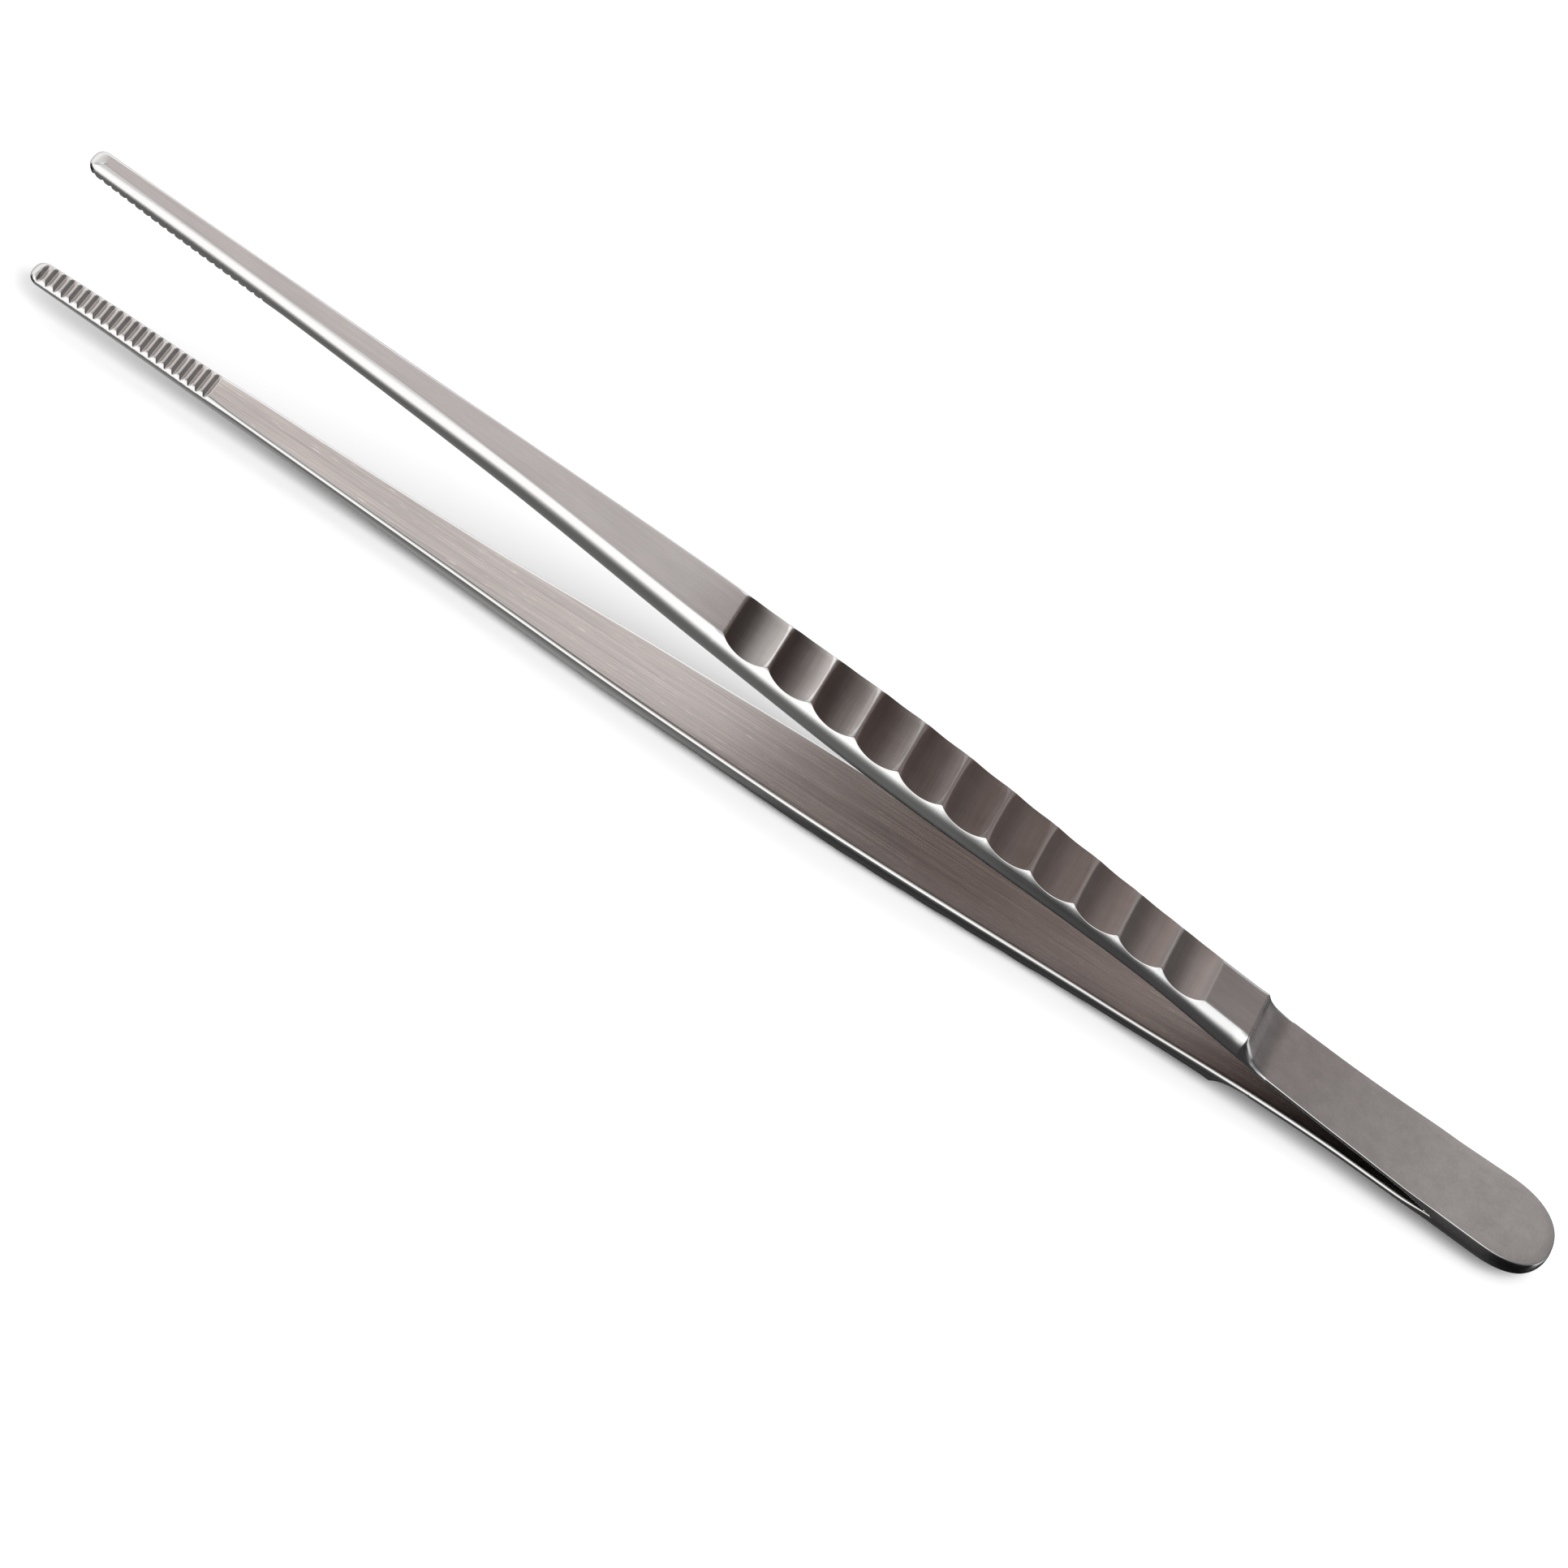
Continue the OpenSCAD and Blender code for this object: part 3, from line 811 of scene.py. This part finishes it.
# (x of the direction, degrees + 10 by which the near levels are raised)
NEAR_RISE = [
    (-1.0, 23), (-0.26, 23), (-0.19, 18), (-0.175, 8), (-0.15, 3), (-0.13, 0), (-0.11, 4),
    (-0.05, 8), (0.0, 7), (0.04, 12), (0.09, 10), (0.12, 9), (1.0, 10),
]
# (x of the direction, factor on the level)
FAR_ALONG = [
    (-1.0, 0.6), (-0.86, 0.35), (-0.76, 0.12), (-0.62, 0.10), (-0.38, 0.16), (-0.29, 0.31),
    (-0.21, 0.44), (-0.1, 0.70), (0.12, 0.76), (0.3, 0.70), (1.0, 0.75),
]
NEAR_ALONG = [
    (-1.0, 0.4), (-0.7, 0.12), (-0.5, 0.2), (-0.36, 0.45), (-0.2, 0.9), (0.0, 0.76),
    (0.12, 0.76), (1.0, 0.75),
]


def add_world():
    """Plain soft white for the floor, and for the steel a studio seen in reflection."""
    world = bpy.data.worlds.new("studio")
    bpy.context.scene.world = world
    g = Graph(world)
    output = g.node("ShaderNodeOutputWorld")
    background = g.node("ShaderNodeBackground")
    g.put(output.inputs[0], background.outputs[0])
    x, y, z = g.split(g.coords("Generated"))
    elevation = g.times(g.math("ARCSINE", z), 180 / math.pi)
    unit, sky = (-1, 1), (-90, 90)

    rise = g.math("SUBTRACT", g.levels(x, unit, NEAR_RISE, top=40.0), 10.0)
    near = g.levels(g.math("SUBTRACT", elevation, rise), sky, NEAR_LEVEL, top=2.0)
    near = g.times(near, g.levels(x, unit, NEAR_ALONG, top=1.0))
    far = g.levels(elevation, sky, FAR_LEVEL, top=2.0)
    far = g.times(far, g.levels(x, unit, FAR_ALONG, top=1.0))
    nearness = g.remap(y, (-0.10, 0.10), (0, 1))

    # darker low down on the near side, underneath, and towards +X
    low_near = g.times(
        g.times(g.remap(elevation, (-2, 22), (1, 0)), nearness),
        g.remap(x, (-0.19, -0.168), (0.85, 0.0)),
    )
    under = g.times(
        g.remap(elevation, (-50, -30), (1, 0)), g.remap(x, (-0.05, -0.02), (0.85, 0.0))
    )
    low_end = g.times(
        g.times(g.remap(elevation, (8, 26), (0.96, 0)), g.remap(x, (0.35, 0.55), (0, 1))),
        g.remap(y, (-0.3, -0.05), (0.2, 1)),
    )
    low_heel = g.math("MAXIMUM", low_near, under)
    lit = g.times(g.math("SUBTRACT", 1.0, low_heel), g.math("SUBTRACT", 1.0, low_end))
    studio = g.times(g.mix(nearness, far, near), lit)
    tint = g.mix(g.remap(x, (-0.5, 0.1), (0, 1)), (0.955, 0.985, 1.0), (1.0, 1.0, 1.0))
    reflected = g.mix(1.0, studio, tint, "MULTIPLY")
    is_glossy = g.node("ShaderNodeLightPath").outputs["Is Glossy Ray"]
    g.put(background.inputs["Color"], g.mix(is_glossy, (0.98, 0.98, 0.985), reflected))
    g.put(background.inputs["Strength"], 1.0)


def add_card(name, length, width, location, tilt, material_name, look):
    """A card seen only in reflections. look gives its opacity and colour from x and y."""
    card = add_sheet(name, length, width, location, (math.radians(tilt), 0, 0))
    card.visible_camera = card.visible_diffuse = False
    card.visible_shadow = card.visible_transmission = False
    material = bpy.data.materials.new(material_name)
    g = Graph(material)
    output = g.node("ShaderNodeOutputMaterial")
    x, y, _ = g.split(g.coords("Object"))
    opacity, colour = look(g, x, y)
    emission = g.node("ShaderNodeEmission")
    g.put(emission.inputs[0], colour)
    mix = g.node("ShaderNodeMixShader")
    g.put(mix.inputs[0], opacity)
    g.put(mix.inputs[1], g.node("ShaderNodeBsdfTransparent").outputs[0])
    g.put(mix.inputs[2], emission.outputs[0])
    g.put(output.inputs[0], mix.outputs[0])
    card.data.materials.append(material)


def over_look(g, x, y):
    ends = (-0.075, 0.075)
    # low down on the card the dark part ends a little sooner
    shifted = g.plus(x, g.remap(y, (-0.014, -0.004), (0.009, 0.0)))
    opacity = g.ramp(g.remap(shifted, ends, (0, 1)), [
        (0.0, 0.0), (0.18, 0.45), (0.42, 0.9), (0.6, 0.97), (0.74, 0.8), (0.92, 0.0),
    ], "EASE")
    lower_fade = g.remap(y, (-0.05, -0.03), (0, 1))
    upper_fade = g.remap(y, (0.05, 0.03), (0, 1))
    colour = g.ramp(g.remap(x, ends, (0, 1)), [
        (0.0, (0.24, 0.20, 0.19)), (0.35, (0.20, 0.16, 0.15)),
        (0.65, (0.10, 0.075, 0.068)), (1.0, (0.13, 0.10, 0.09)),
    ])
    return g.times(opacity, g.times(lower_fade, upper_fade)), colour


def beside_look(g, x, y):
    opacity = g.ramp(g.remap(x, (-0.053, 0.053), (0, 1)), [
        (0.0, 0.0), (0.08, 0.8), (0.6, 0.8), (0.69, 0.75), (1.0, 0.0),
    ], "EASE")
    # the dark part is lower beside the heel and the leaves
    height = g.plus(y, g.remap(x, (0.004, 0.014), (0.013, 0.005)))
    colour = g.ramp(g.remap(y, (-0.045, 0.045), (0, 1)), [
        (0.0, (0.05, 0.045, 0.045)), (1.0, (0.07, 0.07, 0.072)),
    ])
    return g.times(opacity, g.remap(height, (0.022, 0.042), (1, 0))), colour


def add_key_light():
    data = bpy.data.lights.new("key", "AREA")
    data.energy, data.size, data.shape = 9.0, 0.9, "DISK"
    key = add_object("key", data)
    key.location = (-0.3, 0.5, 1.1)
    aim = Vector((0.12, 0, 0)) - Vector((-0.3, 0.5, 1.1))
    key.rotation_euler = aim.to_track_quat("-Z", "Y").to_euler()
    key.visible_glossy = False


def add_camera():
    data = bpy.data.cameras.new("camera")
    data.sensor_width = 36.0
    data.lens = 118.625
    data.clip_start, data.clip_end = 0.01, 100
    camera = add_object("camera", data)
    # directions of the view in the tongs' axes
    right = Vector((-0.8176088, -0.3840752, 0.4289546))
    down = Vector((-0.5723406, 0.6233801, -0.5327508))
    ahead = Vector((-0.0627854, -0.6810899, -0.7295029))
    turn = Matrix((right, -down, -ahead)).transposed().to_4x4()
    camera.matrix_world = Matrix.Translation((0.1694962, 0.4895353, 0.5134898)) @ turn
    bpy.context.scene.camera = camera


add_floor()
add_world()
# one dark card above the grip, and one beside the heel, the leaves and the step
add_card("card_over", length=0.15, width=0.10, location=(0.090, -0.030, 0.042), tilt=43,
         material_name="card_dark_over", look=over_look)
add_card("card_beside", length=0.106, width=0.09, location=(0.045, 0.040, -0.001), tilt=90,
         material_name="card_dark_beside", look=beside_look)
add_key_light()
add_camera()
view = bpy.context.scene.view_settings
view.view_transform = "Standard"
view.look = "None"
view.exposure = 0.0
